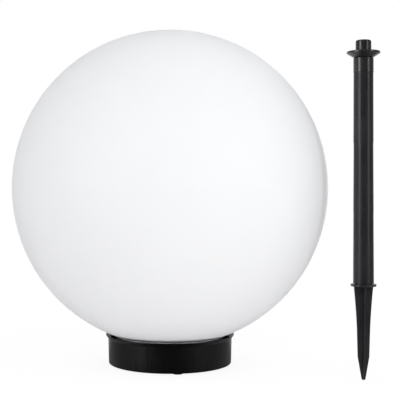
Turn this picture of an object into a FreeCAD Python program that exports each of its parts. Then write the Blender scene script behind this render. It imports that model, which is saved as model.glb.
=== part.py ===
"""A garden globe light: a milky globe that twists into a black base with the solar
module, and the plug-together ground stake that stands beside it.

Millimetres, +Z up. The origin is the middle of the stake socket's mouth, on the ground
that the lamp stands on, and the front looks along -Y.
"""
import FreeCAD, Part
import math
import os
import re

import Sketcher

# The driving sizes. Each can be changed by itself, and what fits it follows.
SIZES = {
    # Globe: a blow-moulded ball with a neck that twists into the base.
    "globe_radius": 150.0,
    "globe_wall": 2.5,
    "neck_radius": 52.0,
    "mouth_reach": 2.4,          # the ball is this much wider than the neck at the base's lip
    "neck_wall": 2.5,
    "neck_depth": 17.4,          # from the lip down to the neck's end
    "lug_count": 3,
    "lug_height": 2.4,
    "lug_reach": 2.4,
    "lug_gap": 2.65,
    "lug_angle": 24.0,
    "tab_angle": 40.0,
    "tab_height": 2.4,
    "stop_width": 3.0,
    "stop_gap": 1.0,
    "twist_clearance": 0.6,
    "lift_clearance": 0.3,
    # Base: the flared cup that the globe sits in.
    "foot_drop": 1.2,            # the feet hold the base this far off the ground
    "base_height": 27.7,
    "base_draft": 0.6,
    "base_wall": 2.2,
    "base_floor": 3.2,
    "base_edge": 1.0,
    "lip_reach": 2.15,
    "lip_rim": 0.8,
    "lip_flare": 2.8,
    "lip_round": 0.3,
    "seal_height": 1.3,
    "seal_inset": 0.1,
    "seal_gap": 0.2,
    "rib_inset": 0.6,
    # Stake socket in the middle of the base.
    "socket_clearance": 0.1,
    "socket_wall": 2.2,
    "socket_depth": 12.0,
    "socket_roof": 1.4,
    "socket_collar": 2.2,
    "socket_collar_height": 1.5,
    "socket_chamfer": 0.4,
    "press_clearance": 0.05,
    # Feet: rubber domes in shallow pockets.
    "foot_count": 4,
    "foot_radius": 5.4,
    "foot_flat": 4.0,
    "foot_round": 1.6,
    "foot_pocket": 0.8,
    "foot_margin": 1.7,
    "foot_turn": 7.8,            # the front foot stands this far right of the middle
    # Battery and its well, behind the socket.
    "battery_radius": 7.1,
    "battery_length": 48.6,
    "nipple_radius": 2.75,
    "nipple_height": 1.0,
    "battery_slack": 0.3,
    "well_share": 0.66,       # how far out the well stands between the socket and the skirt
    "well_wall": 1.6,
    "well_height": 9.0,
    "contact_thickness": 0.5,
    "contact_width": 10.0,
    "spring_travel": 2.4,
    "leaf_gap": 0.2,
    # Battery cover, its seal and its two screws.
    "cover_thickness": 1.6,
    "cover_inset": 0.1,
    "cover_margin": 6.0,
    "cover_overlap": 1.2,
    "cover_corner": 2.5,
    "cover_gap": 0.3,
    "cover_seal_height": 0.7,
    "screw_shank_radius": 1.0,
    "screw_head_radius": 2.0,
    "screw_head_height": 0.9,
    "screw_length": 7.0,
    "screw_clearance": 0.2,
    "boss_wall": 1.9,
    # Slide switch on the underside, in front of the socket.
    "switch_offset": 28.0,
    "switch_length": 13.0,
    "switch_width": 6.4,
    "switch_height": 5.5,
    "switch_travel": 3.0,
    "knob_length": 4.4,
    "knob_width": 4.4,
    "knob_height": 1.5,
    "stem_length": 2.4,
    "stem_width": 2.2,
    "stem_entry": 2.05,
    "stem_gap": 0.7,
    "slide_clearance": 0.3,
    "knob_recess": 1.8,
    "grip_ridges": 3,
    "grip_width": 0.5,
    "grip_height": 0.3,
    "lead_radius": 0.6,
    "lead_count": 3,
    "lead_pitch": 3.0,
    # Circuit board under the carrier.
    "board_thickness": 1.4,
    "board_gap": 0.6,            # air between the battery and the board
    "carrier_gap": 0.8,          # air between the board and the carrier
    "post_circle": 25.0,
    "post_radius": 2.0,
    "stake_radius": 0.9,
    "stake_reach": 0.6,
    "chip_length": 6.0,
    "chip_width": 5.0,
    "chip_height": 1.6,
    "coil_radius": 4.0,
    "coil_height": 5.0,
    "coil_waist": 2.8,
    "capacitor_radius": 3.0,
    "capacitor_height": 7.0,
    "component_side": 16.0,
    "component_forward": 12.0,
    # Carrier, the black disc that closes the base under the globe.
    "carrier_thickness": 1.6,
    "carrier_edge_gap": 0.6,
    "skirt_wall": 1.4,
    "skirt_drop": 2.0,           # the skirt reaches this far down inside the base's rib
    "carrier_screw_count": 3,
    "carrier_boss_gap": 0.3,
    "carrier_screw_turn": 30.0,
    "module_screw_length": 9.0,
    # Solar panel and the four lamps round it.
    "panel_margin": 4.3,
    "panel_thickness": 1.2,
    "panel_pocket": 0.8,
    "panel_gap": 0.2,
    "cell_count": 6,
    "cell_margin": 2.5,
    "row_margin": 2.1,
    "cell_gap": 0.6,
    "cell_thickness": 0.3,
    "panel_pin_radius": 0.6,
    "panel_pin_spread": 40.0,
    "led_count": 4,
    "led_margin": 0.7,
    "led_radius": 2.5,
    "led_body": 5.6,
    "led_flange": 0.4,
    # Ground stake: a connector, three tubes and a cross-bladed spike.
    "stake_x": 169.9,
    "stake_y": -76.7,
    "spigot_radius": 6.8,
    "spigot_height": 10.0,
    "spigot_round": 1.5,
    "flange_radius": 14.5,
    "flange_thickness": 1.6,
    "flange_cone": 3.9,
    "flange_round": 0.5,
    "collar_wall": 1.75,
    "collar_height": 12.8,
    "collar_round": 0.7,
    "tube_length": 61.7,
    "top_tube_wall": 1.55,
    "middle_tube_wall": 1.5,
    "bottom_tube_wall": 1.7,
    "top_tube_flare": 0.15,
    "middle_tube_flare": 0.3,
    "bottom_tube_flare": 0.3,
    "plug_radius": 6.95,
    "plug_length": 11.0,
    "plug_wall": 1.5,
    "plug_clearance": 0.05,
    "plug_end_gap": 0.5,
    "plug_chamfer": 0.5,
    "waist_step": 0.75,
    "waist_height": 0.7,
    "spike_disc_radius": 11.15,
    "spike_disc_height": 1.7,
    "blade_thickness": 1.8,
    "blade_root_half": 8.45,
    "blade_middle_half": 5.7,
    "blade_middle_level": 45.0,
    "blade_shoulder_half": 5.0,
    "blade_shoulder_level": 20.3,
    "blade_curve": 650.0,
    "blade_length": 82.4,
    "blade_tip_half": 0.8,
    "blade_tip_level": 0.9,
}

# Levels and radii that several pieces share, worked out from the driving sizes.
PLACES = {
    "base_bottom": "foot_drop",
    "floor_level": "base_bottom + base_floor",
    "lip_level": "base_bottom + base_height",
    "globe_level": "lip_level + sqrt(globe_radius ^ 2 - (neck_radius + mouth_reach) ^ 2)",
    "neck_inner": "neck_radius - neck_wall",
    "neck_end": "lip_level - neck_depth",
    "rib_level": "neck_end - seal_gap - seal_height",
    "rib_inner": "neck_inner - rib_inset",
    "rib_outer": "neck_radius + rib_inset",
    "lug_radius": "neck_radius + lug_reach",
    "base_inner": "lug_radius + lug_gap",
    "base_radius": "base_inner + base_wall",
    "lip_radius": "base_radius + lip_reach",
    "foot_circle": "base_radius - base_draft - foot_margin - foot_radius",
    "tab_level": "neck_end + lug_height + lift_clearance",
    "tab_inner": "neck_radius + twist_clearance",
    "socket_radius": "spigot_radius + socket_clearance",
    "socket_outer": "socket_radius + socket_wall",
    "cover_level": "base_bottom + cover_inset + cover_thickness",
    "ledge_level": "cover_level + cover_seal_height",
    "battery_level": "cover_level + battery_slack + battery_radius",
    "battery_top": "battery_level + battery_radius",
    "well_half": "battery_length / 2 + nipple_height / 2 + spring_travel / 2 + contact_thickness",
    "well_side": "battery_radius + cover_gap",
    "cover_half": "well_half + well_wall + cover_margin",
    "cover_side": "well_side + cover_overlap",
    "cover_screw_x": "well_half + well_wall + boss_wall / 2 + screw_shank_radius",
    "board_level": "battery_top + board_gap",
    "board_top": "board_level + board_thickness",
    "carrier_level": "board_top + carrier_gap",
    "carrier_top": "carrier_level + carrier_thickness",
    "carrier_radius": "neck_inner - carrier_edge_gap",
    "skirt_outer": "rib_inner - cover_gap",
    "well_nearest": "socket_outer + socket_collar + well_wall + well_side",
    "well_farthest": "sqrt((skirt_outer - skirt_wall) ^ 2 - (well_half + well_wall) ^ 2)"
                     " - well_wall - well_side",
    "well_offset": "well_nearest + well_share * (well_farthest - well_nearest)",
    "panel_level": "carrier_top - panel_pocket",
    "panel_top": "panel_level + panel_thickness",
    "boss_radius": "screw_shank_radius + boss_wall",
    "carrier_screw_circle": "skirt_outer - skirt_wall - carrier_boss_gap - boss_radius",
    "board_radius": "carrier_screw_circle - boss_radius - carrier_boss_gap",
    "led_base": "led_radius + led_flange",
    "led_circle": "board_radius - led_margin - led_base",
    "panel_side": "2 * (led_circle - led_base - panel_margin)",
    "cell_length": "panel_side - 2 * cell_margin",
    "cell_pitch": "(panel_side - 2 * row_margin + cell_gap) / cell_count",
    "knob_level": "base_bottom + knob_recess - slide_clearance / 2",
    "tube_1_level": "blade_length + spike_disc_height + waist_height",
    "tube_2_level": "tube_1_level + tube_length",
    "tube_3_level": "tube_2_level + tube_length",
    "collar_level": "tube_3_level + tube_length",
    "cone_level": "collar_level + collar_height",
    "flange_level": "cone_level + flange_cone",
    "flange_top": "flange_level + flange_thickness",
    "spigot_top": "flange_top + spigot_height",
    "tube_socket_radius": "plug_radius + plug_clearance",
    "tube_socket_depth": "plug_length + plug_end_gap",
    "tube_bore": "plug_radius - plug_wall",
    "collar_radius": "tube_socket_radius + collar_wall",
}

doc = FreeCAD.newDocument("GardenGlobeLight")


def qualified(formula):
    """The formula with each size written as the spreadsheet cell that holds it."""
    def cell(found):
        word = found.group()
        if word in SIZES:
            return "Sizes." + word
        if word in PLACES:
            return "Places." + word
        return word
    return re.sub(r"[a-z_][a-z0-9_]*", cell, str(formula))


def fill_sheet(name, cells):
    """A spreadsheet with a label and an aliased cell in each row."""
    sheet = doc.addObject("Spreadsheet::Sheet", name)
    for row, (alias, content) in enumerate(cells.items(), start=1):
        sheet.set(f"A{row}", alias)
        sheet.set(f"B{row}", content)
        sheet.setAlias(f"B{row}", alias)
    return sheet


sizes_sheet = fill_sheet("Sizes", {alias: str(size) for alias, size in SIZES.items()})
fill_sheet("Places", {alias: "=" + qualified(formula) for alias, formula in PLACES.items()})
doc.recompute()


def value(formula):
    """What a formula comes to with the sheet's present sizes."""
    return float(sizes_sheet.evalExpression(qualified(formula)))


def bind(thing, **formulas):
    """Binds properties to formulas; a double underscore stands for a dot."""
    for name, formula in formulas.items():
        thing.setExpression(name.replace("__", "."), qualified(formula))


def polar(radius, angle):
    """The x and y formulas of a point given by its radius and its angle in degrees."""
    return f"({radius}) * cos({angle})", f"({radius}) * sin({angle})"


# ---------------------------------------------------------------- sketches and features

def new_body(label, x="0", y="0", z="0"):
    """A body that will hold one sub-part, placed at x, y, z."""
    body = doc.addObject("PartDesign::Body", label)
    body.Label = label
    body.AllowCompound = True
    bind(body, Placement__Base__x=x, Placement__Base__y=y, Placement__Base__z=z)
    return body


def origin_feature(body, role):
    """The body's own origin plane or axis with this role."""
    return next(item for item in body.Origin.OriginFeatures if item.Role == role)


def new_sketch(body, name, plane, offset):
    """An empty sketch on one of the body's origin planes, moved off it by offset."""
    sketch = body.newObject("Sketcher::SketchObject", name)
    sketch.AttachmentSupport = [(origin_feature(body, plane), "")]
    sketch.MapMode = "FlatFace"
    bind(sketch, AttachmentOffset__Base__z=offset)
    return sketch


def dimension(sketch, kind, formula, *where):
    """A driving dimension of the sketch that follows a formula."""
    index = sketch.addConstraint(Sketcher.Constraint(kind, *where, value(formula)))
    sketch.setExpression(f"Constraints[{index}]", qualified(formula))


def arc_between(start, end, radius):
    """The short arc from start to end; a negative radius runs clockwise."""
    chord = end - start
    height = math.sqrt(max(radius ** 2 - (chord.Length / 2) ** 2, 0))
    left = FreeCAD.Vector(-chord.y, chord.x, 0).normalize()
    center = (start + end) / 2 + left * math.copysign(height, radius)
    circle = Part.Circle(center, FreeCAD.Vector(0, 0, 1), abs(radius))
    first, last = (start, end) if radius > 0 else (end, start)
    angles = [math.atan2(point.y - center.y, point.x - center.x) for point in (first, last)]
    return Part.ArcOfCircle(circle, *angles)


def outline(body, name, corners, plane="XZ_Plane", offset="0"):
    """A closed sketch through corners (x, y), or (x, y, radius) where an arc leads there."""
    sketch = new_sketch(body, name, plane, offset)
    points = [FreeCAD.Vector(value(corner[0]), value(corner[1]), 0) for corner in corners]
    starts, ends = [], []
    for index, corner in enumerate(corners):
        if len(corner) == 2:
            sketch.addGeometry(Part.LineSegment(points[index - 1], points[index]))
        else:
            sketch.addGeometry(arc_between(points[index - 1], points[index], value(corner[2])))
        forward = len(corner) == 2 or value(corner[2]) > 0
        starts.append(1 if forward else 2)
        ends.append(2 if forward else 1)
    for index in range(len(corners)):
        following = (index + 1) % len(corners)
        sketch.addConstraint(Sketcher.Constraint(
            "Coincident", index, ends[index], following, starts[following]))
    for index, corner in enumerate(corners):
        dimension(sketch, "DistanceX", corner[0], -1, 1, index, ends[index])
        dimension(sketch, "DistanceY", corner[1], -1, 1, index, ends[index])
        if len(corner) == 3:
            dimension(sketch, "Radius", f"abs({corner[2]})", index)
    return sketch


def circles(body, name, rings, plane="XY_Plane", offset="0"):
    """A sketch of circles, each (x, y, radius)."""
    sketch = new_sketch(body, name, plane, offset)
    for index, (x, y, radius) in enumerate(rings):
        center = FreeCAD.Vector(value(x), value(y), 0)
        sketch.addGeometry(Part.Circle(center, FreeCAD.Vector(0, 0, 1), value(radius)))
        dimension(sketch, "DistanceX", x, -1, 1, index, 3)
        dimension(sketch, "DistanceY", y, -1, 1, index, 3)
        dimension(sketch, "Radius", radius, index)
    return sketch


def rectangle(half_x, half_y, x="0", y="0"):
    """The corners of a rectangle about x, y."""
    return [(f"{x} - ({half_x})", f"{y} - ({half_y})"), (f"{x} + ({half_x})", f"{y} - ({half_y})"),
            (f"{x} + ({half_x})", f"{y} + ({half_y})"), (f"{x} - ({half_x})", f"{y} + ({half_y})")]


def rounded_rectangle(half_x, half_y, radius, x="0", y="0"):
    """The corners of a rectangle about x, y whose corners are rounded."""
    corners = []
    for side_x, side_y in ((1, -1), (1, 1), (-1, 1), (-1, -1)):
        outer_x = f"{x} + {side_x} * ({half_x})"
        outer_y = f"{y} + {side_y} * ({half_y})"
        inner_x = f"{outer_x} - {side_x} * ({radius})"
        inner_y = f"{outer_y} - {side_y} * ({radius})"
        first, last = ((inner_x, outer_y), (outer_x, inner_y))
        if side_x * side_y > 0:
            first, last = last, first
        corners += [first, (*last, radius)]
    return corners


def revolve(body, name, sketch, angle="360", axis="V_Axis", cut=False):
    """The sketch turned about one of its axes, half to each side of its plane."""
    kind = "PartDesign::Groove" if cut else "PartDesign::Revolution"
    feature = body.newObject(kind, name)
    feature.Profile = sketch
    feature.ReferenceAxis = (sketch, [axis])
    feature.Midplane = True
    bind(feature, Angle=angle)
    return feature


def pad(body, name, sketch, length, both_ways=False):
    """The sketch pulled out along its normal."""
    feature = body.newObject("PartDesign::Pad", name)
    feature.Profile = sketch
    feature.Midplane = both_ways
    bind(feature, Length=length)
    return feature


def pocket(body, name, sketch, depth):
    """A cut that goes from the sketch along its normal."""
    feature = body.newObject("PartDesign::Pocket", name)
    feature.Profile = sketch
    feature.Reversed = True
    bind(feature, Length=depth)
    return feature


def around(body, name, features, count):
    """Copies of the features all the way round the body's Z axis."""
    pattern = body.newObject("PartDesign::PolarPattern", name)
    pattern.Originals = features
    pattern.Axis = (origin_feature(body, "Z_Axis"), [""])
    pattern.Angle = 360
    bind(pattern, Occurrences=count)
    body.Tip = pattern
    return pattern


def in_row(body, name, features, axis, count, length):
    """Copies of the features in a row along one of the body's axes."""
    pattern = body.newObject("PartDesign::LinearPattern", name)
    pattern.Originals = features
    pattern.Direction = (origin_feature(body, axis), [""])
    bind(pattern, Occurrences=count, Length=length)
    body.Tip = pattern
    return pattern


# ---------------------------------------------------------------- globe

def make_globe():
    """The milky ball with its neck and the bayonet lugs round the neck's end."""
    body = new_body("globe")
    shell_inner = "(globe_radius - globe_wall)"
    outer_join = "globe_level - sqrt(globe_radius ^ 2 - neck_radius ^ 2)"
    inner_join = f"globe_level - sqrt({shell_inner} ^ 2 - neck_inner ^ 2)"
    shell = outline(body, "globe_outline", [
        ("neck_inner", inner_join),
        ("neck_inner", "neck_end"),
        ("neck_radius", "neck_end"),
        ("neck_radius", outer_join),
        ("globe_radius", "globe_level", "globe_radius"),
        ("0", "globe_level + globe_radius", "globe_radius"),
        ("0", f"globe_level + {shell_inner}"),
        (shell_inner, "globe_level", f"-{shell_inner}"),
        ("neck_inner", inner_join, f"-{shell_inner}"),
    ][1:])
    revolve(body, "globe_shell", shell)
    lug = outline(body, "lug_outline", [
        ("neck_radius - neck_wall / 2", "neck_end"),
        ("lug_radius", "neck_end"),
        ("lug_radius", "neck_end + lug_height"),
        ("neck_radius - neck_wall / 2", "neck_end + lug_height"),
    ])
    around(body, "lugs", [revolve(body, "lug", lug, "lug_angle")], "lug_count")
    return body


# ---------------------------------------------------------------- base

def make_base_cup():
    """The flared black base with the seal rib, bayonet tabs, bosses and battery well."""
    body = new_body("base_cup")
    flare_level = "lip_level - lip_rim - lip_flare"
    cup = outline(body, "cup_outline", [
        ("socket_outer + press_clearance", "base_bottom"),
        ("base_radius - base_draft - base_edge", "base_bottom"),
        ("base_radius - base_draft", "base_bottom + base_edge", "base_edge"),
        ("base_radius", flare_level),
        ("lip_radius", "lip_level - lip_rim"),
        ("lip_radius", "lip_level - lip_round"),
        ("lip_radius - lip_round", "lip_level", "lip_round"),
        ("lip_radius - lip_rim", "lip_level"),
        ("base_inner", "lip_level - (lip_radius - lip_rim - base_inner)"),
        ("base_inner", "floor_level"),
        ("rib_outer", "floor_level"),
        ("rib_outer", "rib_level"),
        ("rib_inner", "rib_level"),
        ("rib_inner", "floor_level"),
        ("socket_outer + press_clearance", "floor_level"),
    ])
    revolve(body, "cup", cup)

    tab = outline(body, "tab_outline", [
        ("tab_inner", "tab_level"),
        ("base_inner + base_wall / 2", "tab_level"),
        ("base_inner + base_wall / 2", "tab_level + tab_height"),
        ("tab_inner", "tab_level + tab_height"),
    ])
    stop_angle = "-(lug_angle / 2 + stop_gap)"
    stop = outline(body, "stop_outline", [
        polar("tab_inner", f"{stop_angle} - stop_width"),
        polar("base_inner + base_wall / 2", f"{stop_angle} - stop_width"),
        polar("base_inner + base_wall / 2", stop_angle),
        polar("tab_inner", stop_angle),
    ], "XY_Plane", "floor_level")
    around(body, "tabs", [
        revolve(body, "tab", tab, "tab_angle"),
        pad(body, "stop", stop, "tab_level + tab_height - floor_level"),
    ], "lug_count")

    boss_x, boss_y = polar("carrier_screw_circle", "carrier_screw_turn")
    boss = circles(body, "boss_ring", [
        (boss_x, boss_y, "boss_radius"), (boss_x, boss_y, "screw_shank_radius")],
        offset="floor_level")
    around(body, "bosses", [pad(body, "boss", boss, "carrier_level - floor_level")],
           "carrier_screw_count")

    well = outline(body, "well_block", rectangle(
        "well_half + well_wall", "well_side + well_wall", y="well_offset"),
        "XY_Plane", "floor_level")
    pad(body, "well_walls", well, "well_height")
    for side, sign in (("left", "-"), ("right", "")):
        ear = circles(body, f"cover_boss_ring_{side}", [
            (f"{sign}cover_screw_x", "well_offset", "boss_radius")], offset="floor_level")
        pad(body, f"cover_boss_{side}", ear, "well_height")
    well_space = outline(body, "well_space", rectangle(
        "well_half", "well_side", y="well_offset"), "XY_Plane", "base_bottom")
    pocket(body, "well_opening", well_space, "base_floor + well_height")
    cover_space = outline(body, "cover_space", rounded_rectangle(
        "cover_half + cover_gap", "cover_side + cover_overlap + cover_gap",
        "cover_corner + cover_gap", y="well_offset"), "XY_Plane", "base_bottom")
    pocket(body, "cover_rebate", cover_space, "ledge_level - base_bottom")
    pilots = circles(body, "cover_pilot_rings", [
        ("cover_screw_x", "well_offset", "screw_shank_radius"),
        ("-cover_screw_x", "well_offset", "screw_shank_radius")], offset="base_bottom")
    pocket(body, "cover_pilots", pilots, "screw_length + cover_inset + screw_clearance")

    recess = outline(body, "knob_space", rounded_rectangle(
        "knob_length / 2 + switch_travel / 2 + 4 * slide_clearance",
        "knob_width / 2 + 2 * slide_clearance", "slide_clearance * 3",
        y="-switch_offset"), "XY_Plane", "base_bottom")
    pocket(body, "knob_recess_cut", recess, "knob_recess")
    slot = outline(body, "stem_space", rectangle(
        "stem_length / 2 + switch_travel / 2 + slide_clearance",
        "stem_width / 2 + slide_clearance", y="-switch_offset"), "XY_Plane", "base_bottom")
    pocket(body, "stem_slot", slot, "base_floor")

    foot_x, foot_y = polar("foot_circle", "foot_turn")
    hollow = circles(body, "foot_ring", [
        (foot_x, foot_y, "foot_radius + press_clearance")], offset="base_bottom")
    around(body, "foot_pockets", [pocket(body, "foot_hollow", hollow, "foot_pocket")],
           "foot_count")
    return body


def make_socket_sleeve():
    """The closed sleeve in the middle of the base that takes the stake's spigot."""
    body = new_body("socket_sleeve")
    sleeve = outline(body, "sleeve_outline", [
        ("socket_radius + socket_chamfer", "0"),
        ("socket_outer", "0"),
        ("socket_outer", "floor_level"),
        ("socket_outer + socket_collar", "floor_level"),
        ("socket_outer + socket_collar", "floor_level + socket_collar_height"),
        ("socket_outer", "floor_level + socket_collar_height"),
        ("socket_outer", "socket_depth + socket_roof"),
        ("0", "socket_depth + socket_roof"),
        ("0", "socket_depth"),
        ("socket_radius", "socket_depth"),
        ("socket_radius", "socket_chamfer"),
    ])
    revolve(body, "sleeve", sleeve)
    return body


def make_neck_seal():
    """The flat rubber ring on the rib that the globe's neck presses on."""
    body = new_body("neck_seal", z="rib_level")
    ring = outline(body, "seal_outline", [
        ("neck_inner + seal_inset", "0"), ("neck_radius - seal_inset", "0"),
        ("neck_radius - seal_inset", "seal_height"), ("neck_inner + seal_inset", "seal_height")])
    revolve(body, "seal", ring)
    return body


def make_foot(label, quarter):
    """One rubber dome foot in its pocket, cut flat where it stands."""
    angle = f"foot_turn + {quarter} * 360 / foot_count"
    x, y = polar("foot_circle", angle)
    body = new_body(label, x, y)
    dome = outline(body, "foot_outline", [
        ("0", "0"),
        ("foot_flat", "0"),
        ("foot_radius", "base_bottom", "foot_round"),
        ("foot_radius", "base_bottom + foot_pocket"),
        ("0", "base_bottom + foot_pocket"),
    ])
    revolve(body, "foot", dome)
    return body


# ---------------------------------------------------------------- battery compartment

def make_battery():
    """The rechargeable cell, lying along X in the well."""
    body = new_body("battery", "(spring_travel - nipple_height) / 2", "well_offset",
                    "battery_level")
    cell = outline(body, "battery_outline", [
        ("-battery_length / 2", "0"),
        ("battery_length / 2 + nipple_height", "0"),
        ("battery_length / 2 + nipple_height", "nipple_radius"),
        ("battery_length / 2", "nipple_radius"),
        ("battery_length / 2", "battery_radius - nipple_height / 2"),
        ("battery_length / 2 - nipple_height / 2", "battery_radius"),
        ("-battery_length / 2 + nipple_height / 2", "battery_radius"),
        ("-battery_length / 2", "battery_radius - nipple_height / 2"),
    ])
    revolve(body, "cell", cell, axis="H_Axis")
    return body


def make_contact_plus():
    """The flat contact plate at the nipple's end of the well, soldered to the board."""
    body = new_body("contact_plus", "well_half", "well_offset")
    strip = outline(body, "plate_outline", [
        ("0", "floor_level"),
        ("0", "board_level"),
        ("-contact_thickness", "board_level"),
        ("-contact_thickness", "floor_level"),
    ])
    pad(body, "plate", strip, "contact_width", both_ways=True)
    return body


def make_contact_minus():
    """The contact plate with a bent leaf that presses the cell against the other one."""
    body = new_body("contact_minus", "-well_half", "well_offset")
    reach = "contact_thickness + spring_travel - leaf_gap"
    strip = outline(body, "leaf_outline", [
        ("0", "board_level"),
        ("0", "floor_level"),
        ("contact_thickness", "floor_level"),
        (reach, "battery_level"),
        ("contact_thickness * 2", "battery_level + battery_radius * 3 / 4"),
        ("contact_thickness * 2", "battery_level + battery_radius / 2"),
        (f"{reach} - contact_thickness", "battery_level"),
        ("contact_thickness", "floor_level + contact_thickness * 2"),
        ("contact_thickness", "board_level"),
    ])
    pad(body, "leaf", strip, "contact_width", both_ways=True)
    return body


def make_battery_cover():
    """The cover plate in the base's rebate, with a counterbore for each screw."""
    body = new_body("battery_cover", "0", "well_offset", "base_bottom + cover_inset")
    plate = outline(body, "cover_outline", rounded_rectangle(
        "cover_half", "cover_side + cover_overlap", "cover_corner"), "XY_Plane")
    pad(body, "cover", plate, "cover_thickness")
    holes = circles(body, "hole_rings", [
        ("cover_screw_x", "0", "screw_shank_radius + screw_clearance"),
        ("-cover_screw_x", "0", "screw_shank_radius + screw_clearance")])
    pocket(body, "holes", holes, "cover_thickness")
    sinks = circles(body, "sink_rings", [
        ("cover_screw_x", "0", "screw_head_radius + screw_clearance"),
        ("-cover_screw_x", "0", "screw_head_radius + screw_clearance")])
    pocket(body, "sinks", sinks, "screw_head_height")
    return body


def make_cover_seal():
    """The flat gasket between the cover and the ledge round the well."""
    body = new_body("cover_seal", "0", "well_offset", "cover_level")
    ring = outline(body, "gasket_outline", rectangle(
        "well_half + well_wall", "cover_side + cover_overlap"), "XY_Plane")
    pad(body, "gasket", ring, "cover_seal_height")
    space = outline(body, "gasket_space", rectangle(
        "well_half", "well_side"), "XY_Plane")
    pocket(body, "gasket_opening", space, "cover_seal_height")
    return body


def screw_outline(body, x, length):
    """Half of a cheese-head screw that points up, its head's underside at the height 0."""
    return outline(body, "screw_outline", [
        (x, "-screw_head_height"),
        (f"{x} + screw_head_radius", "-screw_head_height"),
        (f"{x} + screw_head_radius", "0"),
        (f"{x} + screw_shank_radius", "0"),
        (f"{x} + screw_shank_radius", f"{length} - screw_shank_radius"),
        (x, length),
    ])


def make_screw(label, x, y, z, length, points_up):
    """One cheese-head screw with a cross slot in its head."""
    body = new_body(label, x, y, z)
    if not points_up:
        body.Placement.Rotation = FreeCAD.Rotation(FreeCAD.Vector(1, 0, 0), 180)
    revolve(body, "screw", screw_outline(body, "0", length))
    slot = "screw_head_height / 4"
    for name, half_x, half_y in (("slot_a", "screw_head_radius * 3 / 4", slot),
                                 ("slot_b", slot, "screw_head_radius * 3 / 4")):
        cross = outline(body, name + "_outline", rectangle(half_x, half_y),
                        "XY_Plane", "-screw_head_height")
        pocket(body, name, cross, "screw_head_height / 2")
    return body


# ---------------------------------------------------------------- switch

def make_switch_body():
    """The slide switch's housing, standing on the floor over the stem's slot."""
    body = new_body("switch_body", "0", "-switch_offset", "floor_level")
    block = outline(body, "housing_outline", rectangle(
        "switch_length / 2", "switch_width / 2"), "XY_Plane")
    pad(body, "housing", block, "switch_height")
    space = outline(body, "track_outline", rectangle(
        "stem_length / 2 + switch_travel / 2 + slide_clearance",
        "stem_width / 2 + slide_clearance"), "XY_Plane")
    pocket(body, "track", space, "stem_entry + stem_gap")
    return body


def make_switch_knob():
    """The knob that slides along X, with its grip ridges and the stem in the switch."""
    body = new_body("switch_knob", "-switch_travel / 2", "-switch_offset",
                    "knob_level")
    stem = outline(body, "stem_outline", rectangle(
        "stem_length / 2", "stem_width / 2"), "XY_Plane")
    pad(body, "stem", stem, "floor_level + stem_entry - knob_level")
    thumb = outline(body, "thumb_outline", rectangle(
        "knob_length / 2", "knob_width / 2"), "XY_Plane", "grip_height - knob_height")
    pad(body, "thumb", thumb, "knob_height - grip_height")
    ridge = outline(body, "ridge_outline", rectangle(
        "grip_width / 2", "knob_width / 2",
        x="-knob_length / 2 + grip_width"), "XY_Plane", "-knob_height")
    in_row(body, "ridges", [pad(body, "ridge", ridge, "grip_height + knob_height / 4")],
           "X_Axis", "grip_ridges", "knob_length - 2 * grip_width")
    return body


def make_switch_leads():
    """The short leads from the switch up to the board."""
    body = new_body("switch_leads", "-lead_pitch", "-switch_offset",
                    "floor_level + switch_height")
    end = circles(body, "lead_ring", [("0", "0", "lead_radius")])
    in_row(body, "leads", [pad(body, "lead", end, "board_level - floor_level - switch_height")],
           "X_Axis", "lead_count", "lead_pitch * (lead_count - 1)")
    return body


# ---------------------------------------------------------------- electronics

def make_circuit_board():
    """The round board, with a hole for each post that it hangs from."""
    body = new_body("circuit_board", z="board_level")
    pad(body, "board", circles(body, "board_ring", [("0", "0", "board_radius")]),
        "board_thickness")
    x, y = polar("post_circle", "carrier_screw_turn")
    hole = circles(body, "post_hole_ring", [(x, y, "stake_radius + screw_clearance")])
    around(body, "post_holes", [pocket(body, "post_hole", hole, "board_thickness")],
           "carrier_screw_count")
    return body


def make_driver_chip():
    """The driver chip under the board."""
    body = new_body("driver_chip", "-component_side", "-component_forward",
                    "board_level - chip_height")
    block = outline(body, "chip_outline", rectangle("chip_length / 2", "chip_width / 2"),
                    "XY_Plane")
    pad(body, "chip", block, "chip_height")
    return body


def make_power_coil():
    """The drum-core coil under the board."""
    body = new_body("power_coil", "component_side", "-component_forward",
                    "board_level - coil_height")
    drum = outline(body, "drum_outline", [
        ("0", "0"), ("coil_radius", "0"), ("coil_radius", "coil_height / 5"),
        ("coil_waist", "coil_height / 5"), ("coil_waist", "coil_height * 4 / 5"),
        ("coil_radius", "coil_height * 4 / 5"), ("coil_radius", "coil_height"),
        ("0", "coil_height")])
    revolve(body, "drum", drum)
    return body


def make_capacitor():
    """The round capacitor under the board."""
    body = new_body("capacitor", "component_side", "-component_forward * 2",
                    "board_level - capacitor_height")
    pad(body, "can", circles(body, "can_ring", [("0", "0", "capacitor_radius")]),
        "capacitor_height")
    return body


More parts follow.
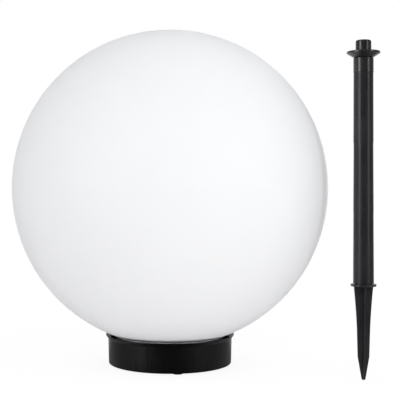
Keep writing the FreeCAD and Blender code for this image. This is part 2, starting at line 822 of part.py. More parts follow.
def make_panel_carrier():
    """The black disc that closes the base, with the skirt, the posts and the openings."""
    body = new_body("panel_carrier")
    skirt_inner = "skirt_outer - skirt_wall"
    disc = outline(body, "carrier_outline", [
        ("0", "carrier_level"),
        (skirt_inner, "carrier_level"),
        (skirt_inner, "rib_level - skirt_drop"),
        ("skirt_outer", "rib_level - skirt_drop"),
        ("skirt_outer", "carrier_level"),
        ("carrier_radius", "carrier_level"),
        ("carrier_radius", "carrier_top"),
        ("0", "carrier_top"),
    ])
    revolve(body, "disc", disc)
    x, y = polar("post_circle", "carrier_screw_turn")
    post = circles(body, "post_ring", [(x, y, "post_radius")], offset="board_top")
    stake = circles(body, "stake_ring", [(x, y, "stake_radius")],
                    offset="board_level - stake_reach")
    around(body, "posts", [
        pad(body, "post", post, "carrier_level - board_top"),
        pad(body, "heat_stake", stake, "carrier_level - board_level + stake_reach"),
    ], "carrier_screw_count")
    bed = outline(body, "panel_bed_outline", rectangle(
        "panel_side / 2 + panel_gap", "panel_side / 2 + panel_gap"), "XY_Plane", "panel_level")
    pocket(body, "panel_bed", bed, "panel_pocket")
    pins = circles(body, "pin_hole_rings", [
        (f"{sign}panel_pin_spread / 2", "0", "panel_pin_radius + screw_clearance")
        for sign in ("", "-")], offset="carrier_level")
    pocket(body, "pin_holes", pins, "carrier_thickness")
    led = circles(body, "led_hole_ring", [
        ("led_circle", "0", "led_radius + screw_clearance")], offset="carrier_level")
    around(body, "led_holes", [pocket(body, "led_hole", led, "carrier_thickness")], "led_count")
    screw_x, screw_y = polar("carrier_screw_circle", "carrier_screw_turn")
    hole = circles(body, "screw_hole_ring", [
        (screw_x, screw_y, "screw_shank_radius + screw_clearance")], offset="carrier_level")
    around(body, "screw_holes", [pocket(body, "screw_hole", hole, "carrier_thickness")],
           "carrier_screw_count")
    return body


def make_solar_panel():
    """The square solar panel's board, lying in the carrier's bed."""
    body = new_body("solar_panel", z="panel_level")
    square = outline(body, "panel_outline", rectangle("panel_side / 2", "panel_side / 2"),
                     "XY_Plane")
    pad(body, "panel", square, "panel_thickness")
    return body


def make_solar_cells():
    """The dark cell strips on the panel."""
    row = "(cell_pitch * (cell_count - 1))"
    body = new_body("solar_cells", f"-{row} / 2", "0", "panel_top")
    strip = outline(body, "cell_outline", rectangle(
        "(cell_pitch - cell_gap) / 2", "cell_length / 2"), "XY_Plane")
    in_row(body, "strips", [pad(body, "strip", strip, "cell_thickness")],
           "X_Axis", "cell_count", row)
    return body


def make_panel_pins():
    """The two pins that join the panel to the board below it."""
    body = new_body("panel_pins", "-panel_pin_spread / 2", "0", "board_top")
    pin = circles(body, "pin_ring", [("0", "0", "panel_pin_radius")])
    in_row(body, "pins", [pad(body, "pin", pin, "panel_level - board_top")],
           "X_Axis", "2", "panel_pin_spread")
    return body


def make_led(label, quarter):
    """One domed lamp that stands on the board and looks up through the carrier."""
    x, y = polar("led_circle", f"{quarter} * 360 / led_count")
    body = new_body(label, x, y, "board_top")
    lens_level = "carrier_gap + led_body"
    dome = outline(body, "led_outline", [
        ("0", "0"),
        ("led_base", "0"),
        ("led_base", "carrier_gap"),
        ("led_radius", "carrier_gap"),
        ("led_radius", lens_level),
        ("0", f"{lens_level} + led_radius", "led_radius"),
    ])
    revolve(body, "lens", dome)
    return body


# ---------------------------------------------------------------- ground stake

def make_stake_connector():
    """The stake's top: the spigot, the flange that the lamp rests on and the collar."""
    body = new_body("stake_connector", "stake_x", "stake_y")
    profile = outline(body, "connector_outline", [
        ("tube_socket_radius", "collar_level"),
        ("collar_radius", "collar_level"),
        ("collar_radius", "cone_level - collar_round"),
        ("collar_radius - collar_round", "cone_level", "collar_round"),
        ("flange_radius", "flange_level"),
        ("flange_radius", "flange_top - flange_round"),
        ("flange_radius - flange_round", "flange_top", "flange_round"),
        ("spigot_radius", "flange_top"),
        ("spigot_radius", "spigot_top - spigot_round"),
        ("spigot_radius - spigot_round", "spigot_top", "spigot_round"),
        ("0", "spigot_top"),
        ("0", "collar_level + tube_socket_depth"),
        ("tube_socket_radius", "collar_level + tube_socket_depth"),
    ])
    revolve(body, "connector", profile)
    return body


def make_stake_tube(label, level, wall, flare):
    """One tube that widens downwards, with a socket below and a plug above."""
    body = new_body(label, "stake_x", "stake_y", level)
    radius = f"tube_socket_radius + {wall}"
    profile = outline(body, "tube_outline", [
        ("tube_socket_radius", "0"),
        (f"{radius} + {flare}", "0"),
        (radius, "tube_length"),
        ("plug_radius", "tube_length"),
        ("plug_radius", "tube_length + plug_length - plug_chamfer"),
        ("plug_radius - plug_chamfer", "tube_length + plug_length"),
        ("tube_bore", "tube_length + plug_length"),
        ("tube_bore", "tube_length - plug_end_gap"),
        ("tube_socket_radius", "tube_length - plug_end_gap - plug_wall"),
    ])
    revolve(body, "tube", profile)
    return body


def make_ground_spike():
    """The cross-bladed spike with its disc and the plug that the lowest tube sits on."""
    body = new_body("ground_spike", "stake_x", "stake_y")
    blade_sides = [
        ("blade_tip_half", "0"),
        ("blade_tip_half * 2", "blade_tip_level"),
        ("blade_shoulder_half", "blade_shoulder_level"),
        ("blade_middle_half", "blade_middle_level"),
        ("blade_root_half", "blade_length", "-blade_curve"),
        ("-blade_root_half", "blade_length"),
        ("-blade_middle_half", "blade_middle_level", "-blade_curve"),
        ("-blade_shoulder_half", "blade_shoulder_level"),
        ("-blade_tip_half * 2", "blade_tip_level"),
        ("-blade_tip_half", "0"),
    ]
    for name, plane in (("wide_blade", "XZ_Plane"), ("deep_blade", "YZ_Plane")):
        side = outline(body, name + "_outline", blade_sides, plane)
        pad(body, name, side, "blade_thickness", both_ways=True)
    head = outline(body, "head_outline", [
        ("0", "blade_length"),
        ("spike_disc_radius", "blade_length"),
        ("spike_disc_radius", "blade_length + spike_disc_height"),
        ("plug_radius + waist_step", "blade_length + spike_disc_height"),
        ("plug_radius + waist_step", "tube_1_level"),
        ("plug_radius", "tube_1_level"),
        ("plug_radius", "tube_1_level + plug_length - plug_chamfer"),
        ("plug_radius - plug_chamfer", "tube_1_level + plug_length"),
        ("0", "tube_1_level + plug_length"),
    ])
    revolve(body, "head", head)
    return body


# ---------------------------------------------------------------- the whole light

def make_screws():
    """The cover's two screws, pointing up, and the carrier's screws, pointing down."""
    screws = []
    head_level = "base_bottom + cover_inset + screw_head_height"
    for side, sign in (("left", "-"), ("right", "")):
        screws.append(make_screw(f"cover_screw_{side}", f"{sign}cover_screw_x",
                                 "well_offset", head_level, "screw_length - screw_head_height", True))
    for index in range(round(value("carrier_screw_count"))):
        x, y = polar("carrier_screw_circle",
                     f"carrier_screw_turn + {index} * 360 / carrier_screw_count")
        screws.append(make_screw(f"carrier_screw_{index + 1}", x, y, "carrier_top",
                                 "module_screw_length", False))
    return screws


def make_light():
    """Every sub-part of the light."""
    parts = [
        make_globe(), make_base_cup(), make_socket_sleeve(), make_neck_seal(),
        make_battery(), make_contact_plus(), make_contact_minus(),
        make_battery_cover(), make_cover_seal(),
        make_switch_body(), make_switch_knob(), make_switch_leads(),
        make_circuit_board(), make_driver_chip(), make_power_coil(), make_capacitor(),
        make_panel_carrier(), make_solar_panel(), make_solar_cells(), make_panel_pins(),
        make_stake_connector(),
        make_stake_tube("stake_tube_top", "tube_3_level", "top_tube_wall", "top_tube_flare"),
        make_stake_tube("stake_tube_middle", "tube_2_level", "middle_tube_wall",
                        "middle_tube_flare"),
        make_stake_tube("stake_tube_bottom", "tube_1_level", "bottom_tube_wall",
                        "bottom_tube_flare"),
        make_ground_spike(),
    ]
    for quarter in range(round(value("foot_count"))):
        parts.append(make_foot(f"foot_{quarter + 1}", quarter))
    for quarter in range(round(value("led_count"))):
        parts.append(make_led(f"led_{quarter + 1}", quarter))
    return parts + make_screws()


def check(parts):
    """Stops if any object of the document failed or a sub-part has no valid shape."""
    for thing in doc.Objects:
        failed = [state for state in thing.State if state in ("Invalid", "Error")]
        if failed:
            raise RuntimeError(f"{thing.Label} in {thing.getParentGeoFeatureGroup()} is {failed}")
    for part in parts:
        if part.Shape.isNull() or not part.Shape.isValid():
            raise RuntimeError(f"{part.Label} has no valid shape")


light = make_light()
doc.recompute()
check(light)
os.makedirs("parts", exist_ok=True)
for part in light:
    part.Shape.exportStep(f"parts/{part.Label}.step")
    print(f"{part.Label:20s} {len(part.Shape.Solids):2d} solid(s) {part.Shape.Volume:12.1f} mm3")
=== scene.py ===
import math

import bpy
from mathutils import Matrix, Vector


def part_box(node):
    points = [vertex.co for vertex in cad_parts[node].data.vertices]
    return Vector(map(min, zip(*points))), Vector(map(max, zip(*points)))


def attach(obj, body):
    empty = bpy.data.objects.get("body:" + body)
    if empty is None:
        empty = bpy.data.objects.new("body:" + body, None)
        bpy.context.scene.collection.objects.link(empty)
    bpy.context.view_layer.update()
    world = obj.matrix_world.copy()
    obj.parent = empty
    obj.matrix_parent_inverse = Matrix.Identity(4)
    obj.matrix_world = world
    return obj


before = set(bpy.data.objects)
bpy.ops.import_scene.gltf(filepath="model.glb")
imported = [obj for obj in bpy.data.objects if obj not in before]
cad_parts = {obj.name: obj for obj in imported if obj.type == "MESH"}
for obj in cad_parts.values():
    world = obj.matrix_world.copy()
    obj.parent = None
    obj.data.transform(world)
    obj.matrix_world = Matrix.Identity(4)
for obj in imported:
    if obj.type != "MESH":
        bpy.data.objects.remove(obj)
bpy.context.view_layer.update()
bpy.ops.object.select_all(action="DESELECT")

# ---- Base cup
# Injection-moulded black cup that the globe twists into, in a fine satin finish. Its outer
# wall is drawn straight out of the mould and carries faint upright draw marks.

MM = 0.001


class Wire:
    """An output in a material's nodes. Arithmetic on it adds Math nodes."""

    def __init__(self, tree, socket=None):
        self.tree, self.socket = tree, socket

    def node(self, kind, settings=None, inputs=None, output=0):
        """Adds a node: its settings first, then its inputs' values or wires."""
        made = self.tree.nodes.new(kind)
        for name, setting in (settings or {}).items():
            setattr(made, name, setting)
        for name, given in (inputs or {}).items():
            if isinstance(given, Wire):
                self.tree.links.new(given.socket, made.inputs[name])
            else:
                made.inputs[name].default_value = given
        return Wire(self.tree, made.outputs[output] if made.outputs else None)

    def math(self, operation, *values):
        return self.node("ShaderNodeMath", {"operation": operation}, dict(enumerate(values)))

    def __add__(self, other):
        return self.math("ADD", self, other)

    def __sub__(self, other):
        return self.math("SUBTRACT", self, other)

    def __rsub__(self, other):
        return self.math("SUBTRACT", other, self)

    def __mul__(self, other):
        return self.math("MULTIPLY", self, other)

    def __truediv__(self, other):
        return self.math("DIVIDE", self, other)

    def __lt__(self, other):
        return self.math("LESS_THAN", self, other)

    def __gt__(self, other):
        return self.math("GREATER_THAN", self, other)

    __radd__, __rmul__ = __add__, __mul__

    def size(self):
        return self.math("ABSOLUTE", self)

    def larger(self, other):
        return self.math("MAXIMUM", self, other)

    def smaller(self, other):
        return self.math("MINIMUM", self, other)

    def repeat(self, step):
        """The distance from the nearest of lines a step apart."""
        return (self.math("FLOORED_MODULO", self, step) - step / 2).size()

    def ramp(self, start, end):
        """0 below start and 1 above end, with a smooth change between."""
        return self.node("ShaderNodeMapRange", {"interpolation_type": "SMOOTHSTEP"}, {
            "Value": self, "From Min": start, "From Max": end})

    def mix(self, under, over):
        """The under colour where this mask is 0 and the over colour where it is 1."""
        factor, first, second, result = 0, 6, 7, 2    # the Mix node's sockets for colours
        return self.node("ShaderNodeMix", {"data_type": "RGBA"}, {
            factor: self, first: colour(under), second: colour(over)}, result)


def colour(given):
    """What a colour socket takes: a wire as it is, or red, green and blue made opaque."""
    return given if isinstance(given, Wire) else (*given, 1)


class Finish:
    """A new material with the place on the piece, noise at a real size, and its surface."""

    def __init__(self, name):
        self.material = bpy.data.materials.new(name)
        self.material.use_nodes = True
        self.material.node_tree.nodes.clear()
        self.wire = Wire(self.material.node_tree)
        self.place = self.wire.node("ShaderNodeTexCoord", output="Object")
        split = self.wire.node("ShaderNodeSeparateXYZ", inputs={"Vector": self.place})
        outputs = split.socket.node.outputs
        self.x, self.y, self.z = (Wire(split.tree, outputs[axis]) for axis in range(3))

    def noise(self, grain, detail=3, stretch=(1, 1, 1)):
        """Noise whose grain is this many millimetres wide, stretched along the axes."""
        scaled = self.wire.node("ShaderNodeMapping", inputs={
            "Vector": self.place, "Scale": tuple(1 / (grain * MM * s) for s in stretch)})
        return self.wire.node("ShaderNodeTexNoise", inputs={
            "Vector": scaled, "Scale": 1, "Detail": detail})

    def radius(self, x=0, y=0):
        """The distance from an upright axis."""
        flat = self.wire.node("ShaderNodeCombineXYZ", inputs={
            "X": self.x - x, "Y": self.y - y})
        return self.wire.node(
            "ShaderNodeVectorMath", {"operation": "LENGTH"}, {0: flat}, output="Value")

    def bump(self, height, depth):
        """A surface normal that follows the height, depth millimetres at the most."""
        return self.wire.node("ShaderNodeBump", inputs={
            "Height": height, "Strength": 1, "Distance": depth * MM})

    def surface(self, **inputs):
        """Adds the surface; names with underscores stand for the shader's inputs."""
        named = {name.replace("_", " "): given for name, given in inputs.items()}
        shader = self.wire.node("ShaderNodeBsdfPrincipled", inputs=named)
        self.wire.node("ShaderNodeOutputMaterial", inputs={"Surface": shader})

    def on(self, *nodes):
        """Gives the material to pieces of the frame."""
        for node in nodes:
            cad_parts[node].material_slots[0].material = self.material


def toned(tone, factor):
    return tuple(channel * factor for channel in tone)


def black_plastic(name, tone, roughness, ior, grain=0.35, marks=0.2):
    """Black moulded plastic: uneven sheen, spark-eroded grain and faint draw marks."""
    skin = Finish(name)
    cloud = skin.noise(22, 2)
    marbling = skin.noise(2.5, 4, (1, 1, 9))
    pits = skin.noise(grain, 2)
    skin.surface(
        Base_Color=(cloud * 0.6 + marbling * 0.4).ramp(0.35, 0.65).mix(
            toned(tone, 0.78), toned(tone, 1.25)),
        Roughness=(roughness + (cloud - 0.5) * 0.12 + (marbling - 0.5) * marks
                   + (pits - 0.5) * 0.06),
        IOR=ior, Normal=skin.bump(pits * 0.7 + marbling * 0.3, 0.02))
    return skin


black_plastic("base_plastic", (0.0013, 0.0013, 0.0014), roughness=0.3, ior=1.43).on(
    "base_cup")

# ---- Stake socket
# Closed sleeve pressed into the floor of the cup for the stake's spigot, in the same
# plastic, left a little rougher inside by its core pin.

black_plastic("socket_plastic", (0.008, 0.008, 0.0085), roughness=0.45, ior=1.3).on(
    "socket_sleeve")

# ---- Feet and seals
# Soft rubber domes pushed into pockets under the base, a flat ring under the globe's neck
# and the gasket of the battery's cover: matte, dusty black with a talc bloom.


def soft_rubber(name, tone):
    """Black rubber, clouded by a paler bloom and full of fine pores."""
    skin = Finish(name)
    bloom = skin.noise(3, 4)
    pores = skin.noise(0.25, 3)
    skin.surface(
        Base_Color=bloom.ramp(0.35, 0.7).mix(tone, toned(tone, 2.2)),
        Roughness=0.72 + (pores - 0.5) * 0.2, IOR=1.35, Normal=skin.bump(pores, 0.03))
    return skin


soft_rubber("foot_rubber", (0.012, 0.012, 0.012)).on("foot_1", "foot_2", "foot_3", "foot_4")
soft_rubber("seal_rubber", (0.02, 0.02, 0.02)).on("neck_seal", "cover_seal")

# ---- Battery
# One AA-size rechargeable cell in a shrunk green film sleeve, with a pale band round its
# plus end. The steel can shows at both ends and on the nipple.

cell = Finish("battery_wrap")
sleeve_middle, half_sleeve = 0.7 * MM, 24.05 * MM
band_start, band_end = 15 * MM, 21 * MM
can_end = (cell.x - sleeve_middle).size() > half_sleeve
band = (cell.x > band_start) * (cell.x < band_end)
wrinkles = cell.noise(1.2, 3, (6, 1, 1))
cell.surface(
    Base_Color=can_end.mix(band.mix((0.03, 0.2, 0.06), (0.62, 0.64, 0.6)), (0.6, 0.59, 0.56)),
    Metallic=can_end, Roughness=0.24 + (wrinkles - 0.5) * 0.14,
    Normal=cell.bump(wrinkles, 0.03), Coat_Weight=(1 - can_end) * 0.4)
cell.on("battery")

# ---- Contacts and pins
# Stamped spring steel, nickel plated: the flat plate, the bent leaf and the panel's two
# pins. Rolling leaves fine upright lines in them, and soldering dull spots of flux.

plating = Finish("contact_metal")
rolling = plating.noise(0.3, 3, (1, 1, 30))
flux = plating.noise(4, 3).ramp(0.6, 0.75)
plating.surface(
    Base_Color=flux.mix((0.7, 0.68, 0.63), (0.5, 0.46, 0.38)), Metallic=1.0,
    Roughness=0.24 + (rolling - 0.5) * 0.2 + flux * 0.15, Normal=plating.bump(rolling, 0.008))
plating.on("contact_plus", "contact_minus", "panel_pins")

# ---- Battery cover
# Flat plate in the rebate under the base, moulded in the same black plastic with a coarser
# spark-eroded grain, because it is only seen when the lamp is turned over.

black_plastic("cover_plastic", (0.006, 0.006, 0.0063), roughness=0.5, ior=1.25, grain=0.6).on(
    "battery_cover")

# ---- Screws
# Zinc-plated cheese-head screws with a cross slot. The plating is a pale, slightly bluish
# grey with dull clouds in it, over the fine rings of the rolled thread.

zinc = Finish("screw_steel")
thread_pitch = 0.7 * MM
clouding = zinc.noise(0.8, 4)
threads = zinc.z.repeat(thread_pitch) / (thread_pitch / 2)
zinc.surface(
    Base_Color=clouding.ramp(0.3, 0.7).mix((0.42, 0.44, 0.47), (0.66, 0.67, 0.68)),
    Metallic=1.0, Roughness=0.3 + (clouding - 0.5) * 0.2,
    Normal=zinc.bump(clouding * 0.2 + threads * 0.8, 0.05))
zinc.on("cover_screw_left", "cover_screw_right", "carrier_screw_1", "carrier_screw_2",
        "carrier_screw_3")

# ---- Switch
# A small slide switch: glossier black housing, a ridged knob in its recess under the base,
# and three short leads in red insulation up to the board.

black_plastic("switch_plastic", (0.014, 0.014, 0.014), roughness=0.3, ior=1.4, marks=0.05).on(
    "switch_body")
black_plastic("knob_plastic", (0.03, 0.03, 0.031), roughness=0.42, ior=1.45, marks=0.1).on(
    "switch_knob")

insulation = Finish("lead_insulation")
smear = insulation.noise(0.6, 3, (1, 1, 5))
insulation.surface(
    Base_Color=smear.ramp(0.3, 0.7).mix((0.38, 0.015, 0.012), (0.56, 0.04, 0.03)),
    Roughness=0.42 + (smear - 0.5) * 0.2, Normal=insulation.bump(smear, 0.02))
insulation.on("switch_leads")

# ---- Switch words
# ON and OFF, moulded proud of the base's underside at each end of the knob's travel and
# read from below. They are part of the base's own moulding.

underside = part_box("base_cup")[0].z
knob_low, knob_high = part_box("switch_knob")
knob_row = (knob_low.y + knob_high.y) / 2


def moulded_word(name, word, x):
    """A raised word on the underside, centred at x, that reads from below."""
    bpy.ops.object.select_all(action="DESELECT")
    bpy.ops.object.text_add(location=(x, knob_row, underside), rotation=(0, math.pi, 0))
    letters = bpy.context.object
    letters.data.body = word
    letters.data.size = 3.6 * MM
    letters.data.extrude = 0.2 * MM
    letters.data.bevel_depth = 0.05 * MM
    letters.data.align_x, letters.data.align_y = "CENTER", "CENTER"
    bpy.ops.object.convert(target="MESH")
    bpy.ops.object.transform_apply(location=True, rotation=True, scale=True)
    letters = bpy.context.object
    letters.name = letters.data.name = name
    letters.data.materials.clear()
    letters.data.materials.append(bpy.data.materials["base_plastic"])
    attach(letters, "lamp_base")


moulded_word("word_off", "OFF", -11 * MM)
moulded_word("word_on", "ON", 10 * MM)

# ---- Circuit board
# Round fibreglass board under green solder mask, with raised copper tracks, tinned pads
# and the weave of the glass showing at its edge.

board = Finish("board_laminate")
board_low, board_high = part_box("circuit_board")
half_core = 0.65 * MM
track_step, cross_step, pad_step = 3.2 * MM, 5.1 * MM, 6.4 * MM
half_track, half_cross, half_pad = 0.32 * MM, 0.3 * MM, 0.7 * MM
on_face = (board.z - (board_low.z + board_high.z) / 2).size() > half_core
wobble = board.noise(14, 1) * 10 * MM
tracks = ((board.x + wobble).repeat(track_step) < half_track).larger(
    ((board.y + wobble).repeat(cross_step) < half_cross) * (board.noise(9, 0) > 0.52))
pads = (board.x.repeat(pad_step) < half_pad) * (board.y.repeat(cross_step) < half_pad)
weave = board.noise(0.3, 1, (1, 1, 0.3))
board.surface(
    Base_Color=on_face.mix(weave.mix((0.35, 0.33, 0.16), (0.5, 0.47, 0.25)),
                           pads.mix(tracks.mix((0.012, 0.1, 0.035), (0.035, 0.2, 0.07)),
                                    (0.6, 0.58, 0.54))),
    Metallic=pads * on_face, Roughness=0.32 + (weave - 0.5) * 0.12,
    Normal=board.bump(tracks * 0.6 + pads * 0.4, 0.06), Coat_Weight=(1 - pads) * 0.3)
board.on("circuit_board")

# ---- Parts on the board
# A driver chip in black epoxy, a drum-core coil with varnished copper wire in its waist,
# and a capacitor in a shrunk sleeve with a pale stripe down one side.

epoxy = Finish("chip_epoxy")
filler = epoxy.noise(0.2, 3)
epoxy.surface(
    Base_Color=filler.ramp(0.3, 0.8).mix((0.009, 0.009, 0.01), (0.03, 0.03, 0.032)),
    Roughness=0.52 + (filler - 0.5) * 0.2, Normal=epoxy.bump(filler, 0.015))
epoxy.on("driver_chip")

drum = Finish("coil_ferrite")
coil_low, coil_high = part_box("power_coil")
coil_center = (coil_low + coil_high) / 2
half_waist, wound_radius, wire_step = 1.49 * MM, 2.9 * MM, 0.32 * MM
copper = ((drum.z - coil_center.z).size() < half_waist) * (
    drum.radius(coil_center.x, coil_center.y) < wound_radius)
turns = drum.z.repeat(wire_step) / (wire_step / 2)
sinter = drum.noise(0.3, 3)
drum.surface(
    Base_Color=copper.mix(sinter.mix((0.045, 0.045, 0.05), (0.1, 0.1, 0.105)),
                          turns.mix((0.62, 0.24, 0.08), (0.28, 0.09, 0.03))),
    Metallic=copper, Roughness=0.55 - copper * 0.3,
    Normal=drum.bump(sinter * 0.3 - turns * copper, 0.05))
drum.on("power_coil")

sleeve = Finish("capacitor_sleeve")
sleeve_low, sleeve_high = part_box("capacitor")
sleeve_center = (sleeve_low + sleeve_high) / 2
stripe_start, can_top_radius = 2 * MM, 2.3 * MM
stripe = sleeve.x > sleeve_center.x + stripe_start
can_top = sleeve.radius(sleeve_center.x, sleeve_center.y) < can_top_radius
pinch = sleeve.noise(1, 3, (1, 1, 3))
sleeve.surface(
    Base_Color=can_top.mix(stripe.mix((0.012, 0.016, 0.04), (0.5, 0.5, 0.52)),
                           (0.66, 0.66, 0.66)),
    Metallic=can_top, Roughness=0.26 + (pinch - 0.5) * 0.15, Normal=sleeve.bump(pinch, 0.04))
sleeve.on("capacitor")

# ---- Panel carrier
# Black disc that closes the base under the globe, moulded with a skirt, posts and the bed
# of the panel. Fine turned rings from the mould's lathe-cut face run round its top.

carrier = Finish("carrier_plastic")
ring_step = 0.8 * MM
lathe = carrier.radius().repeat(ring_step) / (ring_step / 2)
patches = carrier.noise(18, 2)
carrier.surface(
    Base_Color=patches.ramp(0.3, 0.7).mix((0.006, 0.006, 0.0062), (0.011, 0.011, 0.0115)),
    Roughness=0.36 + (patches - 0.5) * 0.15, IOR=1.35,
    Normal=carrier.bump(lathe * 0.6 + carrier.noise(0.4, 2) * 0.4, 0.02))
carrier.on("panel_carrier")

# ---- Solar panel
# Square laminate board with six dark blue crystalline strips on it. Each strip has a wide
# silver bus line along its middle and hair-fine collector lines across it.

laminate = Finish("panel_laminate")
cloth = laminate.noise(0.5, 1, (1, 1, 0.4))
laminate.surface(
    Base_Color=cloth.ramp(0.35, 0.65).mix((0.006, 0.009, 0.016), (0.014, 0.018, 0.03)),
    Roughness=0.2 + (cloth - 0.5) * 0.08, Normal=laminate.bump(cloth, 0.01), Coat_Weight=0.6)
laminate.on("solar_panel")

strips = Finish("cell_silicon")
cells_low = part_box("solar_cells")[0]
strip_pitch, half_strip, half_bus = 9.4 * MM, 4.4 * MM, 0.5 * MM
collector_step, half_collector, crystal = 1.9 * MM, 0.07 * MM, 5 * MM
bus = (strips.x - cells_low.x - half_strip + strip_pitch / 2).repeat(strip_pitch) < half_bus
collectors = strips.y.repeat(collector_step) < half_collector
silver = bus.larger(collectors)
crystals = strips.wire.node("ShaderNodeTexVoronoi", inputs={
    "Vector": strips.place, "Scale": 1 / crystal}, output="Color")
shimmer = strips.wire.node("ShaderNodeSeparateXYZ", inputs={"Vector": crystals})
strips.surface(
    Base_Color=silver.mix(shimmer.mix((0.006, 0.012, 0.05), (0.016, 0.035, 0.13)),
                          (0.55, 0.56, 0.58)),
    Metallic=silver * 0.8, Roughness=0.22 + shimmer * 0.1,
    Normal=strips.bump(silver, 0.03), Coat_Weight=0.8)
strips.on("solar_cells")

# ---- Lamps
# Four clear epoxy lamps, 5 mm, that stand on the board and look up into the globe. Their
# lenses are water clear with a slight warm tint and faint flow lines from casting.

lens = Finish("led_lens")
flow = lens.noise(1.5, 2, (1, 1, 4))
lens.surface(
    Base_Color=flow.mix((0.9, 0.9, 0.82), (0.97, 0.97, 0.92)), IOR=1.52,
    Roughness=0.06 + (flow - 0.5) * 0.05, Transmission_Weight=0.75,
    Normal=lens.bump(flow, 0.02))
lens.on("led_1", "led_2", "led_3", "led_4")

# ---- Globe
# Blow-moulded milky polyethylene ball with a satin skin, thickest at its neck. Its neck is
# painted near black and the wall just above the lip painted darker, as painted shade where
# the black carrier stands behind it. Light that leaves at a slant is partly lost in the wall.

milk = Finish("globe_plastic")
lip_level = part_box("base_cup")[1].z
shade_low, shade_high = -1 * MM, 13 * MM    # where the painted shade starts and ends above the lip
neck_drop = 1.6 * MM                        # how far below the lip the neck is painted near black
half_seam, seam_edge = 0.1 * MM, 0.35 * MM
# painted shade: the wall's colour darkens from 13 mm above the lip down to the lip
painted_shade_above_lip = 1 - (milk.z - lip_level).ramp(shade_low, shade_high)
# painted shade: below this level the milky neck is painted near black
neck = milk.z < lip_level - neck_drop
flow_clouds = milk.noise(45, 2)
skin_grain = milk.noise(0.5, 2)
seam = 1 - milk.y.size().ramp(half_seam, seam_edge)
milk.surface(
    Base_Color=neck.mix(
        painted_shade_above_lip.mix(
            flow_clouds.ramp(0.3, 0.7).mix((0.975, 0.976, 0.982), (0.987, 0.987, 0.987)),
            (0.95, 0.955, 0.965)),
        (0.03, 0.03, 0.032)),
    Roughness=0.55 + (flow_clouds - 0.5) * 0.06 + (skin_grain - 0.5) * 0.05, IOR=1.3,
    Subsurface_Weight=1.0, Subsurface_Radius=(1, 1, 1), Subsurface_Scale=0.005,
    Coat_Weight=1.0, Coat_IOR=1.03, Coat_Roughness=0.5, Coat_Tint=(0.96, 0.96, 0.965, 1),
    Normal=milk.bump(skin_grain * 0.6 + seam * 0.4, 0.02))
milk.on("globe")

# ---- Ground spike
# Cross-bladed spike in black plastic with a disc that stops it at the soil and a plug for
# the lowest tube. Its blades are drawn lengthwise, so their marks run down to the point.

# Its tone is paler than the tubes': a painted sheen in place of the light on its blades.
black_plastic("spike_plastic", (0.0165, 0.0165, 0.0185), roughness=0.3, ior=1.45).on(
    "ground_spike")

# ---- Stake tubes
# Three tubes in black plastic, each with a plug at its top and a socket at its bottom, as
# smooth as their polished mould and faintly blue in the light.

black_plastic("tube_plastic", (0.0125, 0.0125, 0.0145), roughness=0.3, ior=1.36).on(
    "stake_tube_top", "stake_tube_middle", "stake_tube_bottom")

# ---- Stake connector
# Top piece with the spigot for the lamp, the flange that the base rests on and the collar
# round the upper tube, in a slightly greyer, more worn black.

black_plastic("connector_plastic", (0.0115, 0.0115, 0.0125), roughness=0.25, ior=1.5).on(
    "stake_connector")

# ---- Floor
# A pale table that runs out to the white background. The camera sees it nearly white, with
# the lamp's faint shadow, and the lamp itself sees it a little greyer.

bpy.ops.object.select_all(action="DESELECT")
bpy.ops.mesh.primitive_plane_add(size=8)
floor = bpy.context.object
floor.name = "floor"
table = Finish("pale_table")


def ray_masks(wire):
    """Two masks: the rays that mirror a surface, and all the rays that show it."""
    paths = wire.node("ShaderNodeLightPath").socket.node.outputs
    direct, glossy, through = (Wire(wire.tree, paths[f"Is {kind} Ray"])
                               for kind in ("Camera", "Glossy", "Transmission"))
    return glossy, (direct + glossy + through).smaller(1)


def room_glow(towards_back):
    """How bright the room is in a gloss: dark behind the camera, white behind the lamp."""
    dark, sides, back = 0.04, 0.2, 0.72
    return dark + towards_back.ramp(-1.0, -0.55) * sides + towards_back.ramp(0.4, 1.0) * back


def blend(wire, factor, under, over):
    """The under shader where the factor is 0 and the over shader where it is 1."""
    return wire.node("ShaderNodeMixShader", inputs={0: factor, 1: under, 2: over})


least_white = 0.72      # how much of the floor is white whatever light falls on it
mirrored, seen = ray_masks(table.wire)
paleness = 0.9 + table.radius(0.04, 0).ramp(0.2, 0.5) * 0.1
glow = room_glow(table.y / table.radius())
table_grey = table.wire.node("ShaderNodeBsdfDiffuse", inputs={
    "Color": seen.mix((0.8, 0.8, 0.81), (1, 1, 1))})
table_white, table_dark = (
    table.wire.node("ShaderNodeEmission", inputs={"Color": colour((level,) * 3),
                                                  "Strength": level})
    for level in (1, 0))
lit_table = blend(table.wire, (seen * paleness).larger(mirrored).larger(least_white),
                  table_grey, table_white)
mirrored_table = blend(table.wire, mirrored * (1 - glow), lit_table, table_dark)
from_below = table.wire.node("ShaderNodeNewGeometry", output="Backfacing")
clear = table.wire.node("ShaderNodeBsdfTransparent")
table.wire.node("ShaderNodeOutputMaterial", inputs={
    "Surface": blend(table.wire, from_below, mirrored_table, clear)})
floor.data.materials.append(table.material)

# ---- Light
# A soft white room: wide softboxes overhead and in front, a narrow upright one on each side
# whose reflections run down the stake, and a background that is white wherever it is seen.


def softbox(name, place, aim, width, height, power):
    """A rectangular lamp at a place, turned towards the aim."""
    bpy.ops.object.select_all(action="DESELECT")
    bpy.ops.object.light_add(type="AREA", location=place)
    box = bpy.context.object
    box.name = name
    box.data.shape, box.data.size, box.data.size_y = "RECTANGLE", width, height
    box.data.energy = power
    box.rotation_euler = (Vector(aim) - Vector(place)).to_track_quat("-Z", "Y").to_euler()


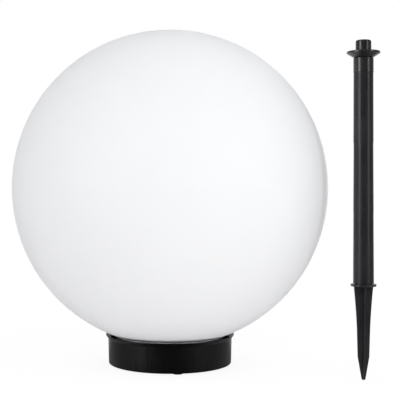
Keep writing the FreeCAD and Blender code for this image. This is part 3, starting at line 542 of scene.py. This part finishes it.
softbox("softbox_top", place=(0.0, -0.5, 1.5), aim=(0.03, 0, 0.15),
        width=1.3, height=1.3, power=1.0)
softbox("softbox_front", place=(-0.1, -1.7, 0.36), aim=(0.03, 0, 0.16),
        width=1.0, height=0.5, power=5.8)
softbox("softbox_left", place=(-0.89, -0.69, 0.42), aim=(0.05, 0, 0.15),
        width=0.46, height=1.1, power=8.0)
softbox("softbox_right", place=(1.08, -0.86, 0.42), aim=(0.05, 0, 0.15),
        width=0.26, height=1.1, power=3.4)
bpy.data.objects["softbox_front"].visible_glossy = False
bpy.data.objects["softbox_left"].visible_diffuse = False

world = bpy.data.worlds.new("white_room")
bpy.context.scene.world = world
world.use_nodes = True
world.node_tree.nodes.clear()
room = Wire(world.node_tree)
mirrored, seen = ray_masks(room)
glow = room_glow(room.node("ShaderNodeSeparateXYZ", inputs={
    "Vector": room.node("ShaderNodeTexCoord", output="Generated")}, output="Y"))
room_light, background, darkness = (
    room.node("ShaderNodeBackground", inputs={"Color": colour(tint), "Strength": strength})
    for tint, strength in (((0.98, 0.99, 1), 0.91), ((1, 1, 1), 1), ((0, 0, 0), 0)))
seen_room = blend(room, seen, room_light, background)
room.node("ShaderNodeOutputWorld", inputs={
    "Surface": blend(room, mirrored * (1 - glow), seen_room, darkness)})

# ---- Camera
# A level view straight from the front at the height of the globe's middle, shifted so that
# the globe stands left in the frame and the stake comes into it.

FRAME_PIXELS = 400            # the photograph's width and height
FOCAL_PIXELS = 909            # fits the globe's outline in that frame
GLOBE_PIXEL = 170.0, 187.7    # the globe's middle in that frame
CAMERA_DISTANCE = 875 * MM
globe_radius = 150 * MM
globe_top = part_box("globe")[1].z
bpy.ops.object.select_all(action="DESELECT")
bpy.ops.object.camera_add(
    location=(0, -CAMERA_DISTANCE, globe_top - globe_radius), rotation=(math.pi / 2, 0, 0))
camera = bpy.context.object
camera.data.sensor_width = 36
camera.data.lens = FOCAL_PIXELS / FRAME_PIXELS * camera.data.sensor_width
camera.data.shift_x = (FRAME_PIXELS / 2 - GLOBE_PIXEL[0]) / FRAME_PIXELS
camera.data.shift_y = (GLOBE_PIXEL[1] - FRAME_PIXELS / 2) / FRAME_PIXELS
bpy.context.scene.camera = camera
bpy.context.scene.view_settings.view_transform = "Standard"
